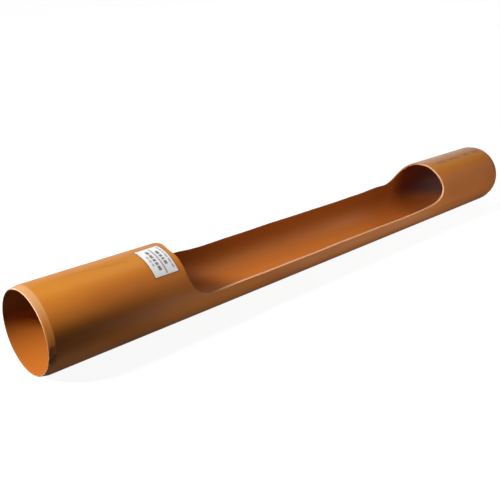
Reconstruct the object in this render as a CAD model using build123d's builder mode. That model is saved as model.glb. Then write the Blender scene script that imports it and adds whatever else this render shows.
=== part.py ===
# Terracotta uPVC drain pipe with its crown sawn away between two full round sleeves, and a paper sticker
# on one sleeve.
# The pipe lies along X with its open side up. The floor is Z = 0 and the origin is under the middle of the pipe.
import os
from math import degrees

from build123d import *
from build123d.topology import SkipClean

# Pipe stock, in millimetres
outer_diameter = 110.0
wall = 3.2
length = 1000.0

# Spigot taper turned on the outside of both ends
taper_length = 10.0
taper_depth = 2.0

# Opening sawn through the crown, with its lips this far above the axis and its edges deburred
sleeve_length = 200.0
corner_radius = 40.0
lip_above_axis = 0.0
saw_edge_radius = 0.4

# Paper sticker on the near sleeve, turned from the crown towards the front
sticker_along = 35.0
sticker_round = 50.0
sticker_thickness = 0.1
sticker_clearance = 0.14
sticker_gap = 9.5
sticker_turn = 16.3

# Sizes that follow from the ones above
outer_radius = outer_diameter / 2
bore_radius = outer_radius - wall
mouth_radius = outer_radius - taper_depth
axis_height = outer_radius
end_x = length / 2
opening_x = end_x - sleeve_length
channel_x = opening_x - 1.25 * corner_radius
lip_height = axis_height + lip_above_axis
crown_height = 2 * outer_radius
pipe_axis = Axis((0, 0, axis_height), (1, 0, 0))

with BuildPart() as pipe:
    # One end of the pipe: the wall in section from the bore out to the taper, turned about the axis.
    with BuildSketch(Plane.XZ) as end_section:
        with BuildLine():
            Polyline(
                (channel_x, axis_height + bore_radius),
                (end_x, axis_height + bore_radius),
                (end_x, axis_height + mouth_radius),
                (end_x - taper_length, axis_height + outer_radius),
                (channel_x, axis_height + outer_radius),
                close=True,
            )
        make_face()
    revolve(end_section.sketch, axis=pipe_axis)
    mirror(about=Plane.YZ)

    # The plain length between the ends.
    with BuildSketch(Plane((-channel_x, 0, axis_height), x_dir=(0, 1, 0), z_dir=(1, 0, 0))) as ring:
        Circle(outer_radius)
        Circle(bore_radius, mode=Mode.SUBTRACT)

    # Side view of the opening: square to the axis at both ends, rounded where it runs down into the lips.
    with BuildSketch(Plane.XZ) as opening:
        with BuildLine():
            Polyline(
                (-opening_x, lip_height),
                (opening_x, lip_height),
                (opening_x, crown_height + wall),
                (-opening_x, crown_height + wall),
                close=True,
            )
        make_face()
        fillet(opening.vertices().group_by(Axis.Y)[0], corner_radius)

    # One piece of pipe, whose faces stay unmerged so that each spigot wall has a face of its own.
    with SkipClean():
        extrude(ring.sketch, amount=2 * channel_x)
        extrude(opening.sketch, amount=outer_diameter, both=True, mode=Mode.SUBTRACT)
        fillet(pipe.edges(Select.LAST), saw_edge_radius)
pipe.part.label = "pipe"

# The sticker wraps the sleeve as a thin curved sheet, a layer of glue off the outer wall. Angles run from the
# crown towards the front.
sticker_radius = outer_radius + sticker_clearance
sticker_sweep = degrees(sticker_round / outer_radius)
sticker_start = sticker_turn - sticker_sweep / 2
sticker_plane = Plane(
    origin=(-opening_x - sticker_gap - sticker_along, 0, axis_height),
    x_dir=(0, 0, 1),
    z_dir=(1, 0, 0),
)
with BuildPart() as sticker:
    with BuildSketch(sticker_plane) as sheet:
        with BuildLine():
            under = CenterArc((0, 0), sticker_radius, sticker_start, sticker_sweep)
            over = CenterArc((0, 0), sticker_radius + sticker_thickness, sticker_start, sticker_sweep)
            Line(under @ 0, over @ 0)
            Line(under @ 1, over @ 1)
        make_face()
    extrude(sheet.sketch, amount=sticker_along)
sticker.part.label = "sticker"

os.makedirs("parts", exist_ok=True)
export_step(pipe.part, "parts/pipe.step")
export_step(sticker.part, "parts/sticker.step")
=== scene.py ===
import math
import random
from functools import reduce

import bmesh
import bpy
import numpy as np
from mathutils import Matrix, Vector


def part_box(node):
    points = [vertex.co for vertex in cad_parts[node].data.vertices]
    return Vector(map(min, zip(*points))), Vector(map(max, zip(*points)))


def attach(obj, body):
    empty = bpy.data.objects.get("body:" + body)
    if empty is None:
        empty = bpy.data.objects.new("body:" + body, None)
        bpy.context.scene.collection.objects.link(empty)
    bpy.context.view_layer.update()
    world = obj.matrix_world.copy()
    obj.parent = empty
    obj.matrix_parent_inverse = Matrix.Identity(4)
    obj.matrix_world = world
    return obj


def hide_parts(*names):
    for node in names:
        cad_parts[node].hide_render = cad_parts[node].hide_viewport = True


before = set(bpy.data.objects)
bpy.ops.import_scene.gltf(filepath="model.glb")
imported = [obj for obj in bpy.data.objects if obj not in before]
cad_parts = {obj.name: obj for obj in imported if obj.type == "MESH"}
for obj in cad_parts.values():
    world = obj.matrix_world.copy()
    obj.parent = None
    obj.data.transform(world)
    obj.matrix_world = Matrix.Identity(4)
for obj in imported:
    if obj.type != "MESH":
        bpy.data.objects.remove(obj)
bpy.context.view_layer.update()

# Pipe, in metres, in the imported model's frame: it lies along X on the floor, open side up
HALF_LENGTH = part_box("pipe")[1].x
R_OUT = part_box("pipe")[1].y
WALL = 0.0032
R_IN = R_OUT - WALL
AXIS_Z = R_OUT
TAPER_LENGTH = 0.010
TAPER_DEPTH = 0.002
TAPER_X = HALF_LENGTH - TAPER_LENGTH
HALF_OPENING = 0.3
CORNER = 0.040
EDGE_BREAK = 0.0004
RIM_BREAK = 0.0003
BOTTOM, CROWN = math.radians(-90), math.radians(90)

# Zones of the pipe's surface, which are also its material slots
OUTSIDE, BORE, TURNED, SAWN, RIM = range(5)

# Mesh of one quarter of the pipe: counts of steps, distances of rows, and shares of the way round or across
LIP_STEPS = 70
FILLET_STEPS = 32
HOOD_STEPS = 22
WALL_STEPS = 30
NEAR_CUT = (0.0, 0.0008, 0.0025)
EDGE_TURNS = (0.25, 0.5, 0.75, 1.0)
FACE_SHARES = (0.35, 0.65)
TAPER_ROWS = (0.0007, 0.0035, 0.0065, TAPER_LENGTH - RIM_BREAK)
RIM_TURNS = (0.33, 0.67, 1.0)
MOUTH_ROWS = (0.0012, 0.004, TAPER_LENGTH)
QUARTERS = ((1, 1, 1), (1, -1, 1), (-1, 1, 1), (-1, -1, 1))
WELD = 2e-6

# Waves of the hand-held saw: depth, then how fast the wave turns along X, round the pipe and up Z
SAW_WAVES = (
    (0.00030, 23, 1.0, 11),
    (0.00018, 61, -1.7, 30),
    (0.00007, 240, 3.0, 0),
    (0.00005, 410, 1.0, 160),
)
SIDE_TURN = 1.05

# Slips of the saw: plastic left, or bitten out where it is below 0, then the middle and width of the slip.
# The near hood is cut back at its crown. Along the back the saw came up early into both corners. In front
# it came up early into the far corner too, and then cut into the far hood.
NEAR_CROWN_OVER_Y = (-0.0030, -0.0057, 0.009)
BACK_LIP = 0.0011
BACK_CORNERS_OVER_X = ((0.0036, -0.25, 0.024), (0.0020, 0.235, 0.022))
FRONT_CORNER_OVER_X = ((0.0021, 0.262, 0.022), (0.0008, 0.266, 0.007))
FAR_HOOD = -0.0030
FAR_HOOD_OVER_Z = (-0.0022, 0.078, 0.007)
FAR_HOOD_X = (0.274, 0.292)
BACK_Y = (-0.01, 0.04)

# How far from the cut the mesh gives way where the saw strayed, how much lower the saw left the outer edge
# than the inner one where it leaned, the share of that across a broken edge, and how far the near end is
# out of square
SAW_REACH = 0.016
SAW_LEAN = 0.0018
EDGE_LEAN_SHARE = 0.1
OUT_OF_SQUARE = 0.0015


def quarter_columns(radius):
    """Each column's start on the sawn edge and its end on the quarter's border, both as x and angle."""
    corner_x = HALF_OPENING - CORNER
    corner_angle = math.asin(CORNER / radius)
    lip_x = np.linspace(0, corner_x, LIP_STEPS + 1)[:-1]
    turn = np.linspace(0, math.pi / 2, 2 * FILLET_STEPS + 1)[:-1]
    fillet_x = corner_x + CORNER * np.sin(turn)
    fillet_angle = np.arcsin(CORNER * (1 - np.cos(turn)) / radius)
    hood_angle = np.linspace(corner_angle, CROWN, HOOD_STEPS + 1)
    start_x = np.concatenate([lip_x, fillet_x, np.full(HOOD_STEPS + 1, HALF_OPENING)])
    start_angle = np.concatenate([np.zeros(LIP_STEPS), fillet_angle, hood_angle])
    along_bottom = np.linspace(corner_x, TAPER_X, FILLET_STEPS + 1)[:-1]
    up_the_end = np.linspace(BOTTOM, corner_angle, FILLET_STEPS + 1)[:-1]
    end_x = np.concatenate([lip_x, along_bottom, np.full(FILLET_STEPS + HOOD_STEPS + 1, TAPER_X)])
    end_angle = np.concatenate([np.full(LIP_STEPS + FILLET_STEPS, BOTTOM), up_the_end, hood_angle])
    return start_x, start_angle, end_x, end_angle


def on_cylinder(x, angle, radius):
    """Points of the front near quarter's cylinder. The angle runs from the front, over the crown."""
    return np.stack([-x, -radius * np.cos(angle), AXIS_Z + radius * np.sin(angle)], axis=-1)


def wall_rows(radius):
    """Rows of points on a wall, from the sawn edge to the border, and their distances from the edge."""
    start_x, start_angle, end_x, end_angle = quarter_columns(radius)
    run = np.hypot(end_x - start_x, radius * (end_angle - start_angle))
    first = [np.full_like(run, EDGE_BREAK + d) for d in NEAR_CUT]
    rest = [first[-1] + (run - first[-1]) * k / WALL_STEPS for k in range(1, WALL_STEPS + 1)]
    rows = []
    for distance in [np.zeros_like(run), *first, *rest]:
        share = distance / run
        x = start_x + share * (end_x - start_x)
        angle = start_angle + share * (end_angle - start_angle)
        rows.append((on_cylinder(x, angle, radius), distance))
    return rows


def unit(v):
    return v / np.linalg.norm(v, axis=-1, keepdims=True)


def slip(value, depth, middle, width):
    return depth * np.exp(-(((value - middle) / width) ** 2) / 2)


def ease(value, low, high):
    t = np.clip((value - low) / (high - low), 0, 1)
    return t * t * (3 - 2 * t)


def at_back(y):
    """0 along the front of the cut, 1 along the back."""
    return ease(y, *BACK_Y)


def saw_wander(p):
    """How far the hand-held saw strayed from its line at a point of the cut."""
    x, y, z = p[..., 0], p[..., 1], p[..., 2]
    side = SIDE_TURN * (1 + y / R_OUT)
    waves = sum(depth * np.sin(a * x + b * side + c * z) for depth, a, b, c in SAW_WAVES)
    crown = (x < 0) * slip(y, *NEAR_CROWN_OVER_Y)
    back = BACK_LIP + sum(slip(x, *corner) for corner in BACK_CORNERS_OVER_X)
    bite = FAR_HOOD + slip(z, *FAR_HOOD_OVER_Z)
    front = sum(slip(x, *corner) for corner in FRONT_CORNER_OVER_X) + bite * ease(x, *FAR_HOOD_X)
    return waves + crown + back * at_back(y) + front * (1 - at_back(y))


def rounded(corner, one_way, other_way, radius, turn):
    """A point of a corner broken to a radius, where turn goes from 0 on one side to 1 on the other."""
    s, c = math.sin(turn * math.pi / 2), math.cos(turn * math.pi / 2)
    return corner + radius * ((1 - s) * one_way + (1 - c) * other_way)


def quarter_rows():
    """All rows over one quarter, from the outer border over the sawn face to the border in the bore, with
    each row's points, their distances from the cut, its zone and its share of the saw's lean. Then the
    sawn edge, and the way that the cut faces."""
    outer, inner = wall_rows(R_OUT), wall_rows(R_IN)
    edge_out, edge_in = outer[0][0], inner[0][0]
    across = edge_in - edge_out
    inwards = unit(across)
    into_out, into_in = unit(outer[1][0] - edge_out), unit(inner[1][0] - edge_in)
    at_cut = np.zeros(len(edge_out))
    rows = [(points, distance, OUTSIDE, 1.0) for points, distance in reversed(outer[1:])]
    for turn in EDGE_TURNS:
        points = rounded(edge_out, into_out, inwards, EDGE_BREAK, turn)
        rows.append((points, at_cut, SAWN, 1 - EDGE_LEAN_SHARE * turn))
    for share in FACE_SHARES:
        rows.append((edge_out + share * across, at_cut, SAWN, 1 - share))
    for turn in reversed((0.0, *EDGE_TURNS)):
        points = rounded(edge_in, into_in, -inwards, EDGE_BREAK, turn)
        rows.append((points, at_cut, SAWN, EDGE_LEAN_SHARE * turn))
    rows += [(points, distance, BORE, 0.0) for points, distance in inner[2:]]
    return rows, edge_out, -unit(into_out + into_in)


def end_profile():
    """(x, radius, zone) round the end of the wall, from the outside over the taper to the bore."""
    slope = TAPER_DEPTH / TAPER_LENGTH
    mouth, bore = np.array((HALF_LENGTH, R_OUT - TAPER_DEPTH)), np.array((HALF_LENGTH, R_IN))
    back, outwards = np.array((-1, 0)), np.array((0, 1))
    points = [(TAPER_X, R_OUT, OUTSIDE)]
    points += [(TAPER_X + d, R_OUT - slope * d, TURNED) for d in TAPER_ROWS]
    for turn in RIM_TURNS:
        points.append((*rounded(mouth, back, -outwards, RIM_BREAK, turn), RIM))
    for turn in reversed((0.0, *RIM_TURNS)):
        points.append((*rounded(bore, back, outwards, RIM_BREAK, turn), RIM))
    points += [(HALF_LENGTH - d, R_IN, BORE) for d in MOUTH_ROWS]
    return points


def end_rows():
    """Rows of points round the end of one quarter's wall, and each row's zone."""
    first = LIP_STEPS + FILLET_STEPS
    angle_out, angle_in = (quarter_columns(radius)[-1][first:] for radius in (R_OUT, R_IN))
    profile = end_profile()
    rows, zones = [], []
    for k, (x, radius, zone) in enumerate(profile):
        share = k / (len(profile) - 1)
        angle = (1 - share) * angle_out + share * angle_in
        rows.append(on_cylinder(np.full_like(angle, x), angle, radius))
        zones.append(zone)
    return np.stack(rows), zones


def out_of_square(p):
    """The near end as it was sawn: its front is cut a little shorter than its back."""
    share = np.clip((-p[..., 0] - TAPER_X) / TAPER_LENGTH, 0, 1)
    off = OUT_OF_SQUARE / 2 * (1 - p[..., 1] / R_OUT)
    return p + (share * off)[..., None] * np.array((1, 0, 0))


def build_pipe():
    rows, edge, facing = quarter_rows()
    points, distances, zones, leans = zip(*rows)
    grid = np.stack(points)
    fall = np.clip(1 - (np.stack(distances) - EDGE_BREAK) / SAW_REACH, 0, 1) ** 2
    lean = SAW_LEAN * np.array(leans)[:, None]
    end, end_zones = end_rows()
    verts, faces, slots = [], [], []
    for flip in QUARTERS:
        cut = edge * flip
        stray = saw_wander(cut) - lean * at_back(cut[..., 1])
        body = (grid + (fall * stray)[..., None] * facing) * flip
        for block, block_zones in ((body, zones), (out_of_square(end * flip), end_zones)):
            n_rows, n_columns = block.shape[:2]
            base = len(verts)
            verts += block.reshape(-1, 3).tolist()
            for i in range(n_rows - 1):
                for j in range(n_columns - 1):
                    a = base + i * n_columns + j
                    faces.append((a, a + 1, a + n_columns + 1, a + n_columns))
                    slots.append(block_zones[i + 1])

    def is_smooth(line):
        here = [face.material_index for face in line.link_faces]
        return not (TURNED in here and OUTSIDE in here)

    return make_piece("pipe_shell", verts, faces, slots, is_smooth)


# Sticker on the near sleeve, with its corners a little lifted, the front ones most
STICKER_X = tuple(corner.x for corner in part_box("sticker"))
STICKER_ANGLE = (math.radians(99.75), math.radians(47.65))
STICKER_GAP = 0.00007
STICKER_THICK = 0.00011
STICKER_ROUND, STICKER_ALONG = 60, 42
CORNER_LIFT = 0.00030
LIFT_POWERS = (9, 7)
BACK_LIFT_SHARE = 0.4
RIPPLE = 0.00003
RIPPLE_WAVES = ((9, 4, 0), (0, 7, 1))
SHARP = math.radians(40)
PAPER, INK, GREY = range(3)

# Rows of plain printed bars, in cells of the sticker's mesh: first and last along the pipe, first and last
# round it, shortest and longest bar, slot
BARS = (
    (6, 8, 20, 44, 3, 6, GREY),
    (12, 16, 9, 53, 4, 8, INK),
    (21, 23, 4, 57, 54, 54, GREY),
    (27, 31, 14, 46, 4, 8, INK),
    (36, 38, 4, 52, 4, 9, GREY),
)
BAR_GAP = 2
BAR_SEED = 11


def printed_cells():
    """The slot of each of the sticker's cells that carries ink."""
    draw = random.Random(BAR_SEED)
    cells = {}
    for low, high, begin, end, shortest, longest, slot in BARS:
        i = begin
        while i + shortest <= end + 1:
            bar = min(draw.randint(shortest, longest), end + 1 - i)
            for k in range(i, i + bar):
                for j in range(low, high + 1):
                    cells[k, j] = slot
            i += bar + BAR_GAP
    return cells


def build_sticker():
    shares = (np.linspace(0, 1, steps + 1) for steps in (STICKER_ROUND, STICKER_ALONG))
    u, v = np.meshgrid(*shares, indexing="ij")
    x = STICKER_X[0] + v * (STICKER_X[1] - STICKER_X[0])
    angle = STICKER_ANGLE[0] + u * (STICKER_ANGLE[1] - STICKER_ANGLE[0])
    corner = np.abs(2 * u - 1) ** LIFT_POWERS[0] * np.abs(2 * v - 1) ** LIFT_POWERS[1]
    lift = CORNER_LIFT * corner * (BACK_LIFT_SHARE + (1 - BACK_LIFT_SHARE) * u)
    round_wave, along_wave = (np.sin(a * u + b * v + c) for a, b, c in RIPPLE_WAVES)
    radius = R_OUT + STICKER_GAP + lift + RIPPLE * round_wave * along_wave
    sheets = [on_cylinder(-x, angle, radius + t) for t in (0.0, STICKER_THICK)]
    verts = np.concatenate([sheet.reshape(-1, 3) for sheet in sheets]).tolist()
    n, m = u.shape
    top = n * m
    ink = printed_cells()
    faces, slots = [], []
    for i in range(n - 1):
        for j in range(m - 1):
            a = i * m + j
            quad = (a, a + 1, a + m + 1, a + m)
            faces += [quad, tuple(k + top for k in reversed(quad))]
            slots += [PAPER, ink.get((i, j), PAPER)]
    border = [*range(m), *range(2 * m - 1, top, m)]
    border += [*range(top - 2, top - m - 1, -1), *range(top - 2 * m, 0, -m)]
    for a, b in zip(border, border[1:] + border[:1]):
        faces.append((a, b, b + top, a + top))
        slots.append(PAPER)
    return make_piece("sticker_sheet", verts, faces, slots, lambda edge: edge.calc_face_angle(0) < SHARP)


def make_piece(name, verts, faces, slots, is_smooth):
    """One mesh object, welded, and smooth but for the edges that is_smooth turns down."""
    mesh = bpy.data.meshes.new(name)
    mesh.from_pydata(verts, [], faces)
    mesh.polygons.foreach_set("material_index", slots)
    bm = bmesh.new()
    bm.from_mesh(mesh)
    bmesh.ops.remove_doubles(bm, verts=bm.verts, dist=WELD)
    bmesh.ops.recalc_face_normals(bm, faces=bm.faces)
    for face in bm.faces:
        face.smooth = True
    for edge in bm.edges:
        edge.smooth = is_smooth(edge)
    bm.to_mesh(mesh)
    bm.free()
    piece = bpy.data.objects.new(name, mesh)
    bpy.context.scene.collection.objects.link(piece)
    return piece


# Sockets of the Mix node where it mixes colours
MIX_FACTOR, MIX_A, MIX_B, MIX_RESULT = 0, 6, 7, 2


class Paint:
    """A material written as a few node calls, each of which returns an output socket."""

    def __init__(self, name, **constants):
        self.material = bpy.data.materials.new(name)
        self.material.use_nodes = True
        self.tree = self.material.node_tree
        self.shader = self.tree.nodes["Principled BSDF"]
        for socket, value in constants.items():
            self.shader.inputs[socket.replace("_", " ")].default_value = value
        self.place = self.node("ShaderNodeTexCoord", {}).outputs["Object"]
        self.parts = self.node("ShaderNodeSeparateXYZ", {"Vector": self.place}).outputs

    def node(self, kind, inputs, **settings):
        made = self.tree.nodes.new(kind)
        for key, value in settings.items():
            setattr(made, key, value)
        for socket, value in inputs.items():
            if isinstance(value, bpy.types.NodeSocket):
                self.tree.links.new(value, made.inputs[socket])
            else:
                made.inputs[socket].default_value = value
        return made

    def noise(self, per_metre, detail, stretch=(1, 1, 1)):
        mapping = self.node("ShaderNodeMapping", {"Vector": self.place, "Scale": stretch})
        inputs = {"Vector": mapping.outputs["Vector"], "Scale": per_metre, "Detail": detail}
        return self.node("ShaderNodeTexNoise", inputs).outputs["Fac"]

    def span(self, value, low, high, at_low=0.0, at_high=1.0):
        inputs = {"Value": value, "From Min": low, "From Max": high, "To Min": at_low, "To Max": at_high}
        return self.node("ShaderNodeMapRange", inputs, interpolation_type="SMOOTHSTEP").outputs["Result"]

    def math(self, operation, *values):
        return self.node("ShaderNodeMath", dict(enumerate(values)), operation=operation).outputs[0]

    def join(self, operation, values):
        """Any number of values joined by one operation."""
        return reduce(lambda a, b: self.math(operation, a, b), values)

    def between(self, value, low, high, soft):
        """1 from low to high and 0 outside them, with soft ends."""
        rise = self.span(value, low - soft, low + soft)
        return self.math("MULTIPLY", rise, self.span(value, high - soft, high + soft, 1.0, 0.0))

    def zone(self, ranges):
        """Part of the surface, as ranges that multiply: an axis, two places on it, the strength at each."""
        return self.join("MULTIPLY", [self.span(self.parts[axis], *ends) for axis, *ends in ranges])

    def mix(self, factor, a, b):
        ends = [end if isinstance(end, bpy.types.NodeSocket) else (*end, 1.0) for end in (a, b)]
        inputs = {MIX_FACTOR: factor, MIX_A: ends[0], MIX_B: ends[1]}
        return self.node("ShaderNodeMix", inputs, data_type="RGBA").outputs[MIX_RESULT]

    def wash(self, colour, wash, *zones):
        """The colour with a wash over it, as strong as the strongest of its zones."""
        return self.mix(self.join("MAXIMUM", [self.zone(ranges) for ranges in zones]), colour, wash)

    def finish(self, colour, rough, height, depth):
        bump = self.node("ShaderNodeBump", {"Height": height, "Strength": 1.0, "Distance": depth})
        looks = {"Base Color": colour, "Roughness": rough, "Normal": bump.outputs["Normal"]}
        for socket, value in looks.items():
            self.tree.links.new(value, self.shader.inputs[socket])
        return self.material


# What the materials share: the middle of a noise's range, and how plastic bends light
MIDDLE = (0.3, 0.7)
PLASTIC_IOR = 1.52

# Extruded wall: the factors of its dull and its bright tone, and the colours outside and in the bore
WALL_TONES = ((0.94, 0.90, 1.0), (1.05, 1.08, 1.0))
ORANGE, SCUFFED = (0.370, 0.113, 0.0145), (0.45, 0.19, 0.06)
BORE_ORANGE, SCUFFED_BORE = (0.300, 0.076, 0.0120), (0.36, 0.14, 0.05)
WALL_SHINE = 0.28

# Its grain, as noise: grains to a metre, detail, and how it is drawn out along the pipe
CLOUD = (11, 4)
LINES = (300, 3, (0.012, 1, 1))
SCRATCHES = (1500, 1, (0.02, 1, 1))
STREAKS = (38, 3, (0.35, 1, 1))
SKIN = (420, 2)

# How the grain shows in colour and in roughness: two levels of the noise, and the strength at each
LINES_SHOW = (0.35, 0.75, 0.0, 0.22)
SCRATCHES_SHOW = (0.66, 0.8, 0.0, 0.35)
STREAKS_SHOW = (0.56, 0.8, 0.0, 0.12)
STREAKS_ROUGH = (0.3, 0.75, 0.37, 0.49)
SCRATCHES_ROUGH = (0.6, 0.8, 0.0, 0.12)
LINES_HEIGHT, SKIN_HEIGHT = 0.6, 0.4
WALL_RELIEF = 0.00009

# Its washes of dust, painted sheen, painted light and painted shade: a colour, then the zones that it covers
# The crown paler at the top: partly dust, partly a painted sheen
CROWN_DUST_AND_SHEEN = ((0.355, 0.133, 0.0125), (("Z", 0.097, 0.112, 0.0, 0.95),))
# The back half darker, more towards the far end: painted shade
BACK_PAINTED_SHADE = ((0.20, 0.075, 0.011), (("Y", -0.016, 0.008, 0.0, 1.0), ("X", 0.2, 0.34, 0.25, 0.65)))
# A dark band along the front of the near sleeve, strongest at the near end: painted shade
FRONT_PAINTED_SHADE = (
    (0.10, 0.028, 0.005),
    (
        ("X", -0.50, -0.33, 0.5, 0.0),
        ("Y", -0.045, -0.03, 1.0, 0.0),
        ("Z", 0.041, 0.059, 0.0, 1.0),
        ("Z", 0.0695, 0.0875, 1.0, 0.0),
    ),
)
# The bore paler low down in the mouth and the channel, where light falls in, and not in the near hood's
# shadow: painted light
BORE_PAINTED_LIGHT = (
    (0.382, 0.117, 0.0150),
    (("X", -0.46, -0.38, 0.62, 0.0), ("Z", 0.05, 0.085, 1.0, 0.0)),
    (("X", -0.26, -0.13, 0.0, 1.0), ("X", 0.06, 0.31, 0.62, 0.0), ("Z", 0.05, 0.085, 1.0, 0.0)),
)
# The upper bore near the mouth darker and greyer: painted shade
MOUTH_PAINTED_SHADE = ((0.155, 0.062, 0.024), (("X", -0.42, -0.34, 0.9, 0.0), ("Z", 0.036, 0.054, 0.0, 1.0)))


def wall_plastic(name, orange, scuffed, washes, marks=()):
    """Extruded pipe wall: cloudy colour, faint lines along the pipe, scratches, rubbed streaks and an
    orange-peel skin, with washes of dust, painted light and painted shade, and then marks over them."""
    paint = Paint(name, Specular_IOR_Level=WALL_SHINE, IOR=PLASTIC_IOR)
    dull, bright = (tuple(c * k for c, k in zip(orange, tone)) for tone in WALL_TONES)
    lines, scratches, streaks = (paint.noise(*grain) for grain in (LINES, SCRATCHES, STREAKS))
    colour = paint.mix(paint.span(paint.noise(*CLOUD), *MIDDLE), dull, bright)
    colour = paint.mix(paint.span(lines, *LINES_SHOW), colour, dull)
    colour = paint.mix(paint.span(scratches, *SCRATCHES_SHOW), colour, scuffed)
    colour = paint.mix(paint.span(streaks, *STREAKS_SHOW), colour, scuffed)
    for wash in washes:
        colour = paint.wash(colour, *wash)
    for mark, tint in marks:
        colour = paint.mix(mark(paint), colour, tint)
    rough = paint.math("ADD", paint.span(streaks, *STREAKS_ROUGH), paint.span(scratches, *SCRATCHES_ROUGH))
    raised = paint.math("MULTIPLY", lines, LINES_HEIGHT)
    height = paint.math("ADD", raised, paint.math("MULTIPLY", paint.noise(*SKIN), SKIN_HEIGHT))
    return paint.finish(colour, rough, height, WALL_RELIEF)


# Faint dark line that crosses the crown of the near sleeve at a slant: the line's place where X is 0 and
# its soft edges, and its ends along X
CROWN_LINE_TINT = (0.20, 0.075, 0.011)
CROWN_LINE_SLANT = 0.12
CROWN_LINE_PLACE, CROWN_LINE_SOFT = (-0.0490, -0.0465), 0.0015
CROWN_LINE_X, CROWN_LINE_FADE = (-0.448, -0.365), 0.012
CROWN_LINE_TOP = (("Z", 0.10, 0.105, 0.0, 0.4),)


def crown_line(paint):
    across = paint.math("ADD", paint.parts["Y"], paint.math("MULTIPLY", paint.parts["X"], CROWN_LINE_SLANT))
    line = paint.between(across, *CROWN_LINE_PLACE, CROWN_LINE_SOFT)
    length = paint.between(paint.parts["X"], *CROWN_LINE_X, CROWN_LINE_FADE)
    return paint.join("MULTIPLY", [line, length, paint.zone(CROWN_LINE_TOP)])


# Worn ink dashes in a row along the far sleeve, a little in front of the crown: first and last x of each
DASH_TINT = (0.06, 0.03, 0.02)
DASHES = ((0.333, 0.363), (0.370, 0.409), (0.425, 0.447), (0.460, 0.482))
DASH_Y = (-0.0102, -0.0030)
DASH_SOFT = 0.0012
DASH_TOP = (("Z", 0.090, 0.092, 0.0, 1.0),)
DASH_WEAR = (110, 2)
DASH_SHOWS = (0.36, 0.62, 0.18, 0.55)


def ink_row(paint):
    dashes = paint.join("MAXIMUM", [paint.between(paint.parts["X"], *ends, DASH_SOFT) for ends in DASHES])
    row = paint.between(paint.parts["Y"], *DASH_Y, DASH_SOFT)
    worn = paint.span(paint.noise(*DASH_WEAR), *DASH_SHOWS)
    return paint.join("MULTIPLY", [dashes, row, paint.zone(DASH_TOP), worn])


# Painted shadow round the edge of the sticker: two distances from its edge and the strength at each
STICKER_SHADOW_TINT = (0.10, 0.045, 0.02)
STICKER_SHADOW_REACH = (0.0004, 0.0021, 0.85, 0.0)


def sticker_edge_shadow(paint):
    up = paint.math("SUBTRACT", paint.parts["Z"], AXIS_Z)
    front = paint.math("MULTIPLY", paint.parts["Y"], -1.0)
    arc = paint.math("MULTIPLY", paint.math("ARCTAN2", up, front), R_OUT)
    sticker_arc = [R_OUT * angle for angle in reversed(STICKER_ANGLE)]
    away = []
    for place, (low, high) in ((paint.parts["X"], STICKER_X), (arc, sticker_arc)):
        off = paint.math("ABSOLUTE", paint.math("SUBTRACT", place, (low + high) / 2))
        away.append(paint.math("SUBTRACT", off, (high - low) / 2))
    return paint.span(paint.join("MAXIMUM", away), *STICKER_SHADOW_REACH)


# Turned taper: its tones, its grain drawn out round the pipe, its painted sheen and its painted light
TURNED_TONES = ((0.305, 0.102, 0.018), (0.340, 0.119, 0.025))
TURNED_SHINE = 0.3
RINGS = (1500, 2, (1, 0.02, 0.02))
TURNED_CLOUD = (60, 3)
TURNED_CLOUD_SHOWS = (0.45, 0.8, 0.0, 0.5)
TURNED_ROUGH = (0.44, 0.56)
TURNED_RELIEF = 0.00012
# Paler at the top: painted sheen
TAPER_TOP_PAINTED_SHEEN = ((0.33, 0.165, 0.065), (("Z", 0.085, 0.108, 0.0, 1.0),))
# Paler towards the foot: painted light
TAPER_FOOT_PAINTED_LIGHT = ((0.50, 0.20, 0.05), (("Z", 0.030, 0.052, 0.7, 0.0),))

# Patchy smear on the front of the near taper
SMEAR_TINT = (0.11, 0.04, 0.012)
SMEAR_PATCHES = (150, 2)
SMEAR_SHOWS = (0.40, 0.60, 0.05, 0.75)
SMEAR_ZONE = (
    ("X", -0.1, 0.1, 1.0, 0.0),
    ("Y", -0.04, -0.02, 1.0, 0.0),
    ("Z", 0.028, 0.044, 0.0, 1.0),
    ("Z", 0.060, 0.076, 1.0, 0.0),
)


def turned_plastic(name, dull, bright):
    """Taper cut on a lathe: fine rings, less shiny than the skin of the pipe, paler at the top with painted
    sheen and at the foot with painted light, with a dark smear in front."""
    paint = Paint(name, Specular_IOR_Level=TURNED_SHINE, IOR=PLASTIC_IOR)
    rings = paint.noise(*RINGS)
    cloud = paint.noise(*TURNED_CLOUD)
    colour = paint.mix(paint.span(rings, *MIDDLE), dull, bright)
    colour = paint.mix(paint.span(cloud, *TURNED_CLOUD_SHOWS), colour, dull)
    for wash in (TAPER_TOP_PAINTED_SHEEN, TAPER_FOOT_PAINTED_LIGHT):
        colour = paint.wash(colour, *wash)
    patches = paint.span(paint.noise(*SMEAR_PATCHES), *SMEAR_SHOWS)
    colour = paint.mix(paint.math("MULTIPLY", paint.zone(SMEAR_ZONE), patches), colour, SMEAR_TINT)
    return paint.finish(colour, paint.span(cloud, *MIDDLE, *TURNED_ROUGH), rings, TURNED_RELIEF)


# Sawn faces round the opening and at the ends: tones, grain, and washes, one of them a painted highlight
SAWN_TONES = ((0.39, 0.186, 0.090), (0.475, 0.257, 0.147))
RIM_TONES = ((0.26, 0.11, 0.045), (0.31, 0.14, 0.065))
SAWN_SHINE = 0.12
TEETH = (900, 2, (1, 0.25, 0.6))
SAWN_CLOUD = (45, 3)
SAWN_CLOUD_SHOWS = (0.5, 0.8, 0.0, 0.5)
SAWN_ROUGH = (0.5, 0.68)
SAWN_RELIEF = 0.00015
# Sawn faces darker along the back of the cut and at the near corner
SAWN_DARKER_BACK_AND_NEAR = (
    (0.19, 0.070, 0.025),
    (("Y", 0.0, 0.025, 0.0, 0.85),),
    (("X", -0.266, -0.205, 0.62, 0.0),),
)
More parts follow.
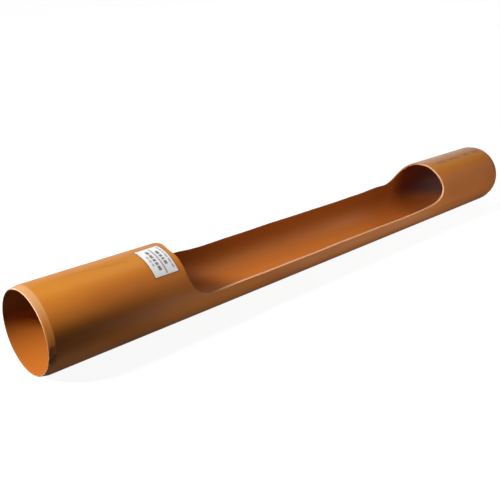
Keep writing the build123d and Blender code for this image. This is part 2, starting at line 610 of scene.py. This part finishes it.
# The rim paler at the top: painted highlight
RIM_TOP_PAINTED_HIGHLIGHT = ((0.60, 0.36, 0.23), (("Z", 0.072, 0.105, 0.0, 1.0),))
DARK_RIM_BACK = ((0.14, 0.045, 0.014), (("Y", 0.022, 0.034, 0.0, 0.9),))


def sawn_plastic(name, dull, bright, washes):
    """Faces left by the saw: chalky, with tooth marks across the wall, and washes over them."""
    paint = Paint(name, Specular_IOR_Level=SAWN_SHINE, IOR=PLASTIC_IOR)
    teeth = paint.noise(*TEETH)
    cloud = paint.noise(*SAWN_CLOUD)
    colour = paint.mix(paint.span(teeth, *MIDDLE), dull, bright)
    colour = paint.mix(paint.span(cloud, *SAWN_CLOUD_SHOWS), colour, dull)
    for wash in washes:
        colour = paint.wash(colour, *wash)
    return paint.finish(colour, paint.span(teeth, *MIDDLE, *SAWN_ROUGH), teeth, SAWN_RELIEF)


# Sticker paper, plain and printed: tones, stain and grain
PAPER_TONES, PAPER_STAIN = ((0.470, 0.460, 0.452), (0.545, 0.530, 0.515)), (0.43, 0.42, 0.40)
INK_TONES, INK_STAIN = ((0.085, 0.09, 0.10), (0.13, 0.135, 0.15)), (0.16, 0.16, 0.17)
GREY_TONES, GREY_STAIN = ((0.19, 0.19, 0.20), (0.24, 0.24, 0.25)), (0.25, 0.25, 0.25)
PAPER_SHINE = 0.3
FIBRES = (2600, 3, (1, 0.5, 0.5))
FIBRE_HEIGHT = 0.3
COCKLE = (120, 2)
COCKLE_SHOWS = (0.5, 0.8, 0.0, 0.35)
PAPER_ROUGH = (0.55, 0.7)
PAPER_RELIEF = 0.00006


def paper(name, dull, bright, wash):
    """Uncoated sticker paper: fibres, a faint stain and a slight cockle."""
    paint = Paint(name, Specular_IOR_Level=PAPER_SHINE)
    fibres = paint.noise(*FIBRES)
    cockle = paint.noise(*COCKLE)
    colour = paint.mix(paint.span(fibres, *MIDDLE), dull, bright)
    colour = paint.mix(paint.span(cockle, *COCKLE_SHOWS), colour, wash)
    height = paint.math("ADD", paint.math("MULTIPLY", fibres, FIBRE_HEIGHT), cockle)
    return paint.finish(colour, paint.span(fibres, *MIDDLE, *PAPER_ROUGH), height, PAPER_RELIEF)


# Materials in the order of the pieces' slots
OUTSIDE_DUST_SHADE_AND_SHEEN = (CROWN_DUST_AND_SHEEN, BACK_PAINTED_SHADE, FRONT_PAINTED_SHADE)
OUTSIDE_MARKS = ((crown_line, CROWN_LINE_TINT), (ink_row, DASH_TINT), (sticker_edge_shadow, STICKER_SHADOW_TINT))
pipe_materials = (
    wall_plastic("outside_plastic", ORANGE, SCUFFED, OUTSIDE_DUST_SHADE_AND_SHEEN, OUTSIDE_MARKS),
    wall_plastic("bore_plastic", BORE_ORANGE, SCUFFED_BORE, (BORE_PAINTED_LIGHT, MOUTH_PAINTED_SHADE)),
    turned_plastic("turned_plastic", *TURNED_TONES),
    sawn_plastic("sawn_plastic", *SAWN_TONES, (SAWN_DARKER_BACK_AND_NEAR,)),
    sawn_plastic("rim_plastic", *RIM_TONES, (RIM_TOP_PAINTED_HIGHLIGHT, DARK_RIM_BACK)),
)
sticker_materials = (
    paper("sticker_paper", *PAPER_TONES, PAPER_STAIN),
    paper("sticker_ink", *INK_TONES, INK_STAIN),
    paper("sticker_grey", *GREY_TONES, GREY_STAIN),
)
for piece, node, slot, materials in (
    (build_pipe(), "pipe", "pipe_plastic", pipe_materials),
    (build_sticker(), "sticker", "sticker_paper", sticker_materials),
):
    for material in materials:
        piece.data.materials.append(material)
    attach(piece, "root")
    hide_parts(node)

# Pale floor that turns up into a round backdrop: (radius, height). It glows by itself and lights nothing.
FLOOR = ((1.5, 0.0), (3.0, 0.0), (3.6, 0.08), (4.1, 0.3), (4.45, 0.7), (4.6, 1.3), (4.65, 2.2), (4.65, 6.0))
FLOOR_SIDES = 64
FLOOR_GREYS = ((0.13, 0.13, 0.13), (0.15, 0.15, 0.15))
FLOOR_GLOW = 0.92
FLOOR_GRAIN = (4, 2)
FLOOR_ROUGH = (0.85, 0.95)
FLOOR_RELIEF = 0.0001


def build_floor():
    verts, faces = [(0, 0, 0)], []
    for k, (r, z) in enumerate(FLOOR):
        for t in range(FLOOR_SIDES):
            a = 2 * math.pi * t / FLOOR_SIDES
            verts.append((r * math.cos(a), r * math.sin(a), z))
            here, there = 1 + k * FLOOR_SIDES + t, 1 + k * FLOOR_SIDES + (t + 1) % FLOOR_SIDES
            if k == 0:
                faces.append((0, here, there))
            else:
                faces.append((here - FLOOR_SIDES, here, there, there - FLOOR_SIDES))
    made = make_piece("floor", verts, faces, [0] * len(faces), lambda edge: True)
    paint = Paint("floor_paint", Emission_Color=(1, 1, 1, 1), Emission_Strength=FLOOR_GLOW)
    grain = paint.noise(*FLOOR_GRAIN)
    colour = paint.mix(paint.span(grain, *MIDDLE), *FLOOR_GREYS)
    rough = paint.span(grain, *MIDDLE, *FLOOR_ROUGH)
    made.data.materials.append(paint.finish(colour, rough, grain, FLOOR_RELIEF))
    made.visible_diffuse = made.visible_glossy = made.visible_shadow = False


def soft_box(name, place, aim, size, power, diffuse=True, glossy=True):
    data = bpy.data.lights.new(name, "AREA")
    data.shape = "RECTANGLE"
    data.size, data.size_y = size
    data.energy = power
    lamp = bpy.data.objects.new(name, data)
    lamp.location = place
    lamp.rotation_mode = "QUATERNION"
    lamp.rotation_quaternion = (Vector(aim) - Vector(place)).to_track_quat("-Z", "Y")
    lamp.visible_camera = False
    lamp.visible_diffuse, lamp.visible_glossy = diffuse, glossy
    bpy.context.scene.collection.objects.link(lamp)


def card(name, place, size, power, diffuse=True, glossy=True):
    """A soft box that lies on the floor and faces up."""
    x, y, _ = place
    soft_box(name, place, (x, y, 1.0), size, power, diffuse, glossy)


build_floor()
# These light the pipe and leave no highlight.
soft_box("key", (-1.7, 0.3, 0.985), (-0.45, 0, 0.05), (0.3, 0.4), 77.0, glossy=False)
soft_box("overhead", (0.13, 0.38, 0.8), (0.13, 0, 0.05), (0.4, 0.35), 4.3, glossy=False)
soft_box("front", (0.30, -0.7, 0.4), (0.30, 0, 0.05), (0.3, 0.3), 2.15, glossy=False)
card("near_card", (-0.47, -0.085, 0.004), (0.12, 0.06), 0.008, glossy=False)
card("back_card", (0.0, 0.2, 0.005), (0.9, 0.2), 1.0, glossy=False)
card("floor_card", (0.1, -0.2, 0.005), (0.9, 0.2), 1.07, glossy=False)
soft_box("far_wall", (3.0, 1.732, 2.05), (0, 0, 0.05), (1.6, 1.6), 20.0, glossy=False)
# These light it and show in its sheen.
soft_box("far_front", (2.838, -1.638, 2.344), (0, 0, 0.05), (1.6, 1.6), 12.1)
soft_box("far_low", (3.41, -1.97, 0.745), (0, 0, 0.05), (1.6, 1.6), 4.1)
# These are pale walls and tables that only show in its sheen.
soft_box("back_wall", (1.2, 3.2, 0.75), (0.0, 0.0, 0.1), (7.0, 1.6), 25.0, diffuse=False)
soft_box("right_wall", (3.6, 1.7, 0.85), (0.4, 0.0, 0.1), (2.4, 1.8), 11.0, diffuse=False)
card("front_table", (0.12, -0.13, 0.004), (0.4, 0.14), 0.065, diffuse=False)
card("table", (1.3, 1.7, 0.004), (6.0, 2.6), 40.0, diffuse=False)

# Dim air: a little light from below the horizon, as off a table
AIR_LIGHT = 0.104
HORIZON = 0.05
world = bpy.data.worlds.new("studio")
world.use_nodes = True
tree = world.node_tree
air = tree.nodes["Background"]
way = tree.nodes.new("ShaderNodeTexCoord")
parts = tree.nodes.new("ShaderNodeSeparateXYZ")
fade = tree.nodes.new("ShaderNodeMapRange")
fade_ends = {"From Min": -HORIZON, "From Max": HORIZON, "To Min": AIR_LIGHT, "To Max": 0.0}
for socket, value in fade_ends.items():
    fade.inputs[socket].default_value = value
tree.links.new(way.outputs["Generated"], parts.inputs["Vector"])
tree.links.new(parts.outputs["Z"], fade.inputs["Value"])
tree.links.new(fade.outputs["Result"], air.inputs["Strength"])
air.inputs["Color"].default_value = (1, 1, 1, 1)
bpy.context.scene.world = world

# Camera, as fitted to the outline of the pipe
CAMERA_PLACE = Vector((-0.79040, -0.60344, 0.53222))
YAW, PITCH, ROLL = (math.radians(a) for a in (43.01, 28.14, 7.28))
FOCAL_PIXELS, PICTURE_PIXELS = 681.34, 500
SENSOR = 36.0
CLIP = (0.02, 50)
forward = Vector((math.cos(PITCH) * math.cos(YAW), math.cos(PITCH) * math.sin(YAW), -math.sin(PITCH)))
level = Vector((math.sin(YAW), -math.cos(YAW), 0))
right = math.cos(ROLL) * level + math.sin(ROLL) * level.cross(forward)
up = right.cross(forward)
lens = bpy.data.cameras.new("photo_camera")
lens.sensor_width = SENSOR
lens.lens = SENSOR * FOCAL_PIXELS / PICTURE_PIXELS
lens.clip_start, lens.clip_end = CLIP
camera = bpy.data.objects.new("photo_camera", lens)
camera.matrix_world = Matrix.Translation(CAMERA_PLACE) @ Matrix((right, up, -forward)).transposed().to_4x4()
bpy.context.scene.collection.objects.link(camera)
bpy.context.scene.camera = camera
bpy.context.scene.view_settings.view_transform = "Standard"
